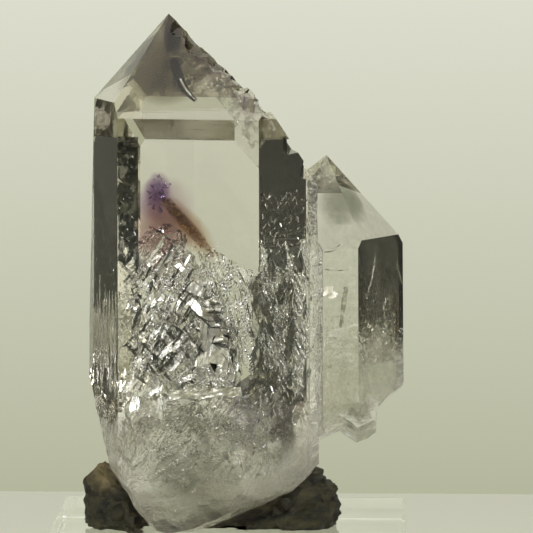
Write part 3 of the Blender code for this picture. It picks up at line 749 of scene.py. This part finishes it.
flake_field("blades_front", -11, 9.5, (-8.6, -0.4), (33.5, 46.0), (0.3, 1.2), 150, 1.3, 20.0, 20, bright_film, 0.16, (52, -48, 60))
flake_field("dark_blades", -11, 9.5, (-8.6, -0.6), (32.5, 44.0), (0.6, 1.5), 230, 1.2, 16.0, 41, black_film, 0.15, (52, 60, -48))
flake_field("dark_scratches", 48.7, 9.7, (-4.7, 2.9), (31.0, 46.0), (0.3, 0.8), 300, 1.1, 14.0, 42, black_film, 0.12, (112, 128, 70))
flake_field("dark_fibres", -11, 9.5, (0.0, 5.4), (31.5, 44.0), (0.4, 1.0), 90, 1.0, 12.0, 43, black_film, 0.08, (102, 112))
flake_field("dark_low", -11, 9.5, (-9.0, 4.6), (23.5, 32.0), (0.8, 2.4), 80, 0.9, 24.0, 44, dark_film, 0.12, (58, 110, 20))
flake_field("flakes_front", -11, 9.5, (-8.6, 1.4), (32.5, 47.0), (0.3, 1.4), 140, 0.28, 26.0, 21, silver_film, 0.6)
flake_field("flakes_strip", -11, 9.5, (-9.6, -7.6), (36.0, 57.0), (0.2, 0.6), 180, 0.3, 40.0, 27, bright_film, 0.25)
flake_field("flakes_right_fine", 48.7, 9.7, (-4.7, 2.9), (28.0, 48.0), (0.2, 0.8), 420, 0.7, 30.0, 22, bright_film, 0.14, (60, 110, 135))
flake_field("flakes_right_top", 48.7, 9.7, (-4.7, 2.9), (46.0, 52.5), (0.2, 0.8), 280, 0.36, 40.0, 28, bright_film, 0.3, (30, 60, 110))
flake_field("flakes_left", -70.8, 13.1, (-7.5, 2.4), (27.0, 52.0), (0.3, 1.8), 260, 0.34, 24.0, 23, silver_film, 0.5, (80, 100))
flake_field("flakes_low", -11, 9.5, (-9.0, 5.0), (24.0, 32.0), (0.6, 3.0), 200, 0.3, 30.0, 24, silver_film, 0.4)
flake_field("flakes_low_left", -11, 9.5, (-9.2, -4.5), (28.4, 33.6), (0.4, 1.4), 110, 1.3, 26.0, 29, bright_film, 0.2, (58, 76, 112))
flake_field("grains_low", -11, 9.5, (-9.0, 5.4), (20.0, 31.5), (0.6, 2.4), 420, 0.1, 50.0, 30, silver_film)
placed_flakes("bright_flakes", (
    (on_front(-4.7, 44.8, 0.7), 2.0, 0.6, -30), (on_front(-3.7, 33.2, 0.6), 1.6, 0.5, 36),
    (on_front(1.4, 34.6, 0.8), 1.7, 0.5, 80), (on_front(-1.6, 40.9, 0.6), 1.4, 0.4, -52),
    (on_front(-9.9, 32.4, 0.9), 2.6, 0.6, 72), (on_front(-9.2, 31.0, 0.8), 2.2, 0.5, 100),
    (on_front(-7.7, 31.5, 0.8), 1.8, 0.6, 60), (on_front(-6.7, 30.4, 0.8), 1.4, 0.6, 20),
    (on_front(-7.2, 41.2, 0.7), 2.0, 0.4, 62), (on_front(-6.2, 38.0, 0.7), 2.4, 0.4, 66),
    (on_front(-7.7, 35.9, 0.7), 2.2, 0.4, 75), (on_front(-5.1, 36.4, 0.6), 2.0, 0.8, 40),
    (on_front(-2.9, 40.6, 0.8), 2.4, 1.2, -50), (on_front(-4.9, 34.9, 0.7), 2.8, 0.9, 58), (on_front(-6.0, 36.0, 0.7), 2.4, 0.7, 52),
    (on_front(-9.6, 30.2, 0.8), 2.6, 0.8, 84), (on_front(-8.3, 32.4, 0.7), 2.2, 0.7, 64), (on_front(-7.0, 32.0, 0.8), 1.8, 0.8, 48)),
    (-24, 16), bright_film)


# The inclusions of the cap and of the small crystal
# A bowed dark tube and a smoky, plum-tinted tip in the large cap, and feathers, a thin lens and a
# rust line in the small crystal.

soft_body("smoky_tip", (-6.0, 0.0, 64.0), (4.6, 3.6, 5.0), (0, 0, 0), "9c8e6c", 310.0, 0.05)
soft_body("side_smoke", (11.8, 4.0, 49.8), (2.6, 2.6, 3.2), (0, 0, 0), "90947c", 250.0, 0.05)
soft_body("plum_tip", (-5.7, -0.5, 67.9), (1.1, 1.1, 2.4), (0, -6, 0), "70486a", 1500.0, 0.1)
soft_body("ridge_tint", (-1.4, -3.4, 65.2), (1.4, 1.1, 6.0), (-24, -48, 0), "94787c", 480.0, 0.1)
soft_body("plum_chip", (2.2, -6.6, 61.2), (1.2, 0.9, 2.2), (0, -40, 0), "947086", 520.0, 0.1)


def bent_tube(name, points, thick, material):
    """A tapered tube through three points, round in section."""
    deselect()
    bpy.ops.curve.primitive_nurbs_path_add()
    path = bpy.context.object
    path.name = name
    spline = path.data.splines[0]
    for number, point in enumerate(spline.points):
        share = number / (len(spline.points) - 1)
        a, b, c = (Vector(p) for p in points)
        spot = a.lerp(b, share).lerp(b.lerp(c, share), share)
        point.co = (*(spot * MM), 1.0)
        point.radius = 0.35 + 0.65 * math.sin(math.pi * min(share + 0.15, 1.0))
    path.data.bevel_depth = thick / 2 * MM
    path.data.bevel_resolution = 3
    path.data.use_fill_caps = True
    bpy.ops.object.convert(target="MESH")
    tube = bpy.context.object
    bpy.ops.object.transform_apply(location=True, rotation=True, scale=True)
    return enclose(tube, material)


bent_tube("bowed_tube", ((-5.5, -3.0, 66.2), (-5.2, -3.6, 62.6), (-2.9, -4.4, 61.2)), 1.25, tube_film)
bent_tube("tube_edge", ((-4.7, -4.3, 64.0), (-4.0, -4.7, 62.0), (-2.7, -5.0, 61.3)), 0.34, bright_film)
rippled_sheet("ridge_veil", (1.6, -6.4, 61.4), (3.0, 9.0), (-20, -38, 4), 0.16, 0.5, (3.0, 0.5), 92, 27.0, fine_film)
placed_flakes("side_flakes", ((Vector((10.5, -1.6, 41.5)), 2.2, 0.8, 30), (Vector((11.2, -1.6, 41.2)), 1.3, 0.7, 44)),
              (-24, 16), bright_film)
bent_tube("feather_left", ((15.3, 1.5, 45.1), (15.5, 0.8, 42.4), (14.4, -0.3, 40.8)), 0.45, fine_film)
bent_tube("feather_tent", ((16.2, 2.9, 39.0), (16.4, 3.4, 42.0), (17.0, 4.4, 38.8)), 0.6, fine_film)
bent_tube("feather_right", ((17.6, 5.6, 44.2), (17.6, 5.4, 42.4), (18.4, 7.1, 40.9)), 0.5, fine_film)
bent_tube("side_lens", ((12.6, -1.4, 42.0), (12.4, -1.2, 40.4), (12.0, -1.4, 37.6)), 0.7, fine_film)
bent_tube("side_bow", ((10.4, -1.6, 43.9), (11.4, -1.3, 43.5), (12.9, -1.6, 43.9)), 0.16, dark_film)
bent_tube("side_wisp", ((10.3, -1.4, 45.7), (11.6, -1.3, 45.6), (12.0, -1.4, 46.4)), 0.16, dark_film)
flake_field("side_spangles", 0.0, 2.6, (9.8, 13.6), (33.5, 39.0), (0.2, 0.8), 160, 0.12, 40.0, 31, fine_film)
flake_field("side_spangles_right", 60.1, 13.6, (5.4, 13.0), (34.0, 41.4), (0.2, 0.8), 260, 0.14, 40.0, 32, silver_film)
rippled_sheet("side_veil_right", face_place(60.1, 13.6, 9.4, 36.6, 1.2), (7.0, 6.4), (0, 0, 60.1), 0.18, 0.4, (2.0, 0.6), 100, 33.0, fine_film,
              lambda x, y: y < 1.4 + 2.4 * noise.noise(Vector((x * 1.1, 0.3 * y, 9.0))))
soft_body("chip_haze", (13.9, 0.6, 28.1), (1.5, 1.3, 1.6), (0, 0, 0), "8c927e", 420.0)
flake_field("chip_grains", 0.0, 0.8, (12.9, 15.0), (26.8, 29.4), (0.2, 1.6), 90, 0.14, 60.0, 47, dark_film)
growth_bar("rust_line", (17.5, 5.2, 40.0), (17.6, 5.4, 36.2), 0.22, iron_film)
soft_body("lilac_cloud", (3.2, -3.8, 28.6), (3.4, 2.4, 3.6), (0, 10, 0), "b0a6cc", 250.0)
# Painted shadow: a grey-brown absorbing cloud that darkens the bottom of the foot, where the putty below shades it.
soft_body("foot_painted_shadow", (-1.6, -3.4, 20.6), (6.4, 3.0, 3.6), (0, 20, 0), "a8a28a", 190.0)
soft_body("shadow_band", (-3.0, -5.0, 27.6), (1.2, 1.4, 4.2), (0, -34, 0), "8e8c76", 300.0)
soft_body("shadow_left", (-9.0, -4.4, 28.0), (1.6, 1.4, 3.4), (0, -20, 0), "8e8c76", 300.0)


# The platform, the studio and the camera
# The block stands on a pale square floor, a metre across, in front of a wide, softly lit
# backdrop, with dark flags on both sides that draw the edges of the glass.

deselect()
bpy.ops.mesh.primitive_plane_add(size=1.0, location=(0.0, -0.382, 0.0))
platform = bpy.context.object
platform.name = "platform"
paper, paper_shader = new_material("pale_paper", "e8ead9", 0.65)
platform.data.materials.append(paper)

world = bpy.data.worlds.new("studio")
bpy.context.scene.world = world
world.use_nodes = True
tree = world.node_tree
sight = add_node(tree, "ShaderNodeTexCoord")
split = add_node(tree, "ShaderNodeSeparateXYZ", links={"Vector": sight.outputs["Generated"]})
climb = add_node(tree, "ShaderNodeMapRange", {"From Min": -0.165, "From Max": -0.03}, {"Value": split.outputs["Z"]})
paper_tone = add_node(tree, "ShaderNodeMix", {"data_type": "RGBA", 6: linear_colour("b4b69c"), 7: linear_colour("dfe0d0")},
                      {0: climb.outputs["Result"]})
bearing = add_node(tree, "ShaderNodeMath", {"operation": "ARCTAN2"}, {0: split.outputs["X"], 1: split.outputs["Y"]})
offset = add_node(tree, "ShaderNodeMath", {"operation": "ABSOLUTE"}, {0: bearing.outputs[0]})
flag_tone = add_node(tree, "ShaderNodeMapRange", {"From Min": -0.3, "From Max": 0.3, "To Min": 0.03, "To Max": 0.125},
                     {"Value": bearing.outputs[0]})
room = add_node(tree, "ShaderNodeMapRange", {"From Min": math.radians(120), "From Max": math.radians(150), "To Max": 0.06},
                {"Value": offset.outputs[0]})
side_tone = add_node(tree, "ShaderNodeMath", {"operation": "ADD"}, {0: flag_tone.outputs["Result"], 1: room.outputs["Result"]})
flags = add_node(tree, "ShaderNodeMapRange",
                 {"From Min": math.radians(26), "From Max": math.radians(34), "To Min": 1.0},
                 {"Value": offset.outputs[0], "To Max": side_tone.outputs[0]})
rays = add_node(tree, "ShaderNodeLightPath")
strength = add_node(tree, "ShaderNodeMath", {"operation": "MAXIMUM"},
                    {0: flags.outputs["Result"], 1: rays.outputs["Is Camera Ray"]})
tree.links.new(paper_tone.outputs[2], tree.nodes["Background"].inputs["Color"])
tree.links.new(strength.outputs[0], tree.nodes["Background"].inputs["Strength"])


def soft_lamp(name, place, size, power, colour):
    """A flat soft lamp that looks at the specimen and isn't seen itself."""
    deselect()
    bpy.ops.object.light_add(type="AREA", location=place)
    lamp = bpy.context.object
    lamp.name = name
    lamp.data.shape = "RECTANGLE"
    lamp.data.size = size[0]
    lamp.data.size_y = size[1]
    lamp.data.energy = power
    lamp.data.color = linear_colour(colour)[:3]
    lamp.rotation_euler = (Vector((0.0, 0.0, 0.035)) - Vector(place)).to_track_quat("-Z", "Y").to_euler()
    lamp.visible_camera = False


soft_lamp("top_lamp", (0.0, 0.05, 0.6), (0.5, 0.5), 0.9, "fffaf0")
soft_lamp("left_lamp", (-0.5, -0.35, 0.35), (0.25, 0.4), 2.2, "ffffff")
soft_lamp("right_lamp", (0.5, -0.3, 0.3), (0.2, 0.4), 1.6, "ffffff")

# The camera looks down 6.2 degrees and stands 2 degrees to the right of the block's front.
bpy.ops.object.camera_add(
    location=(0.01888, -0.4226, 0.0899), rotation=(math.radians(90.0 - 6.2), 0.0, math.radians(2.0)))
camera = bpy.context.object
camera.data.lens = 270.2
camera.data.sensor_width = 36.0
scene = bpy.context.scene
scene.camera = camera
scene.view_settings.view_transform = "Standard"
scene.cycles.max_bounces = 24
scene.cycles.transmission_bounces = 24
scene.cycles.glossy_bounces = 16
scene.cycles.transparent_max_bounces = 32
